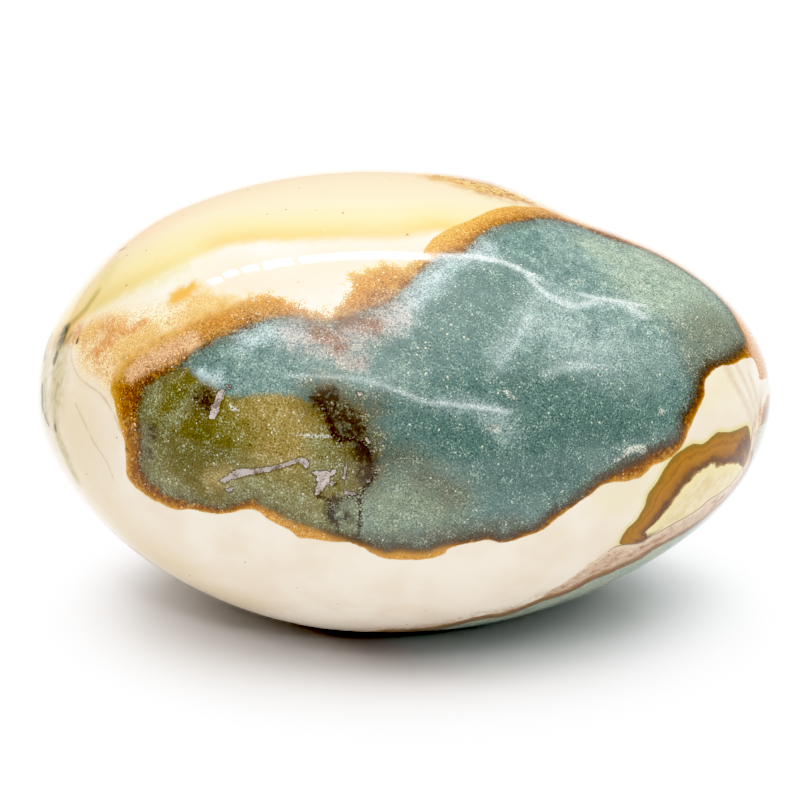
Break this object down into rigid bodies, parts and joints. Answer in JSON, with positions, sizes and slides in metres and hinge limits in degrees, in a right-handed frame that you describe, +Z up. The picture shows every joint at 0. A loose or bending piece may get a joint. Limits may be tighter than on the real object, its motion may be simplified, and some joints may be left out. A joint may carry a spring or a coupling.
{
  "type": "polychrome jasper worry stone",
  "caption": "Chunky polished ovoid of polychrome jasper, a palm-sized worry stone that lies on a small flat under its belly.",
  "frame": {"origin": "on the ground plane, under the middle of the stone's bounding box", "axes": "+X along the stone's length towards its slimmer end, +Y away from the marked front face, +Z up"},
  "size_m": [0.07, 0.0492, 0.0429],
  "materials": {
    "jasper": "polished"
  },
  "bodies": {
    "root": {"stone": "jasper"}
  },
  "joints": []
}
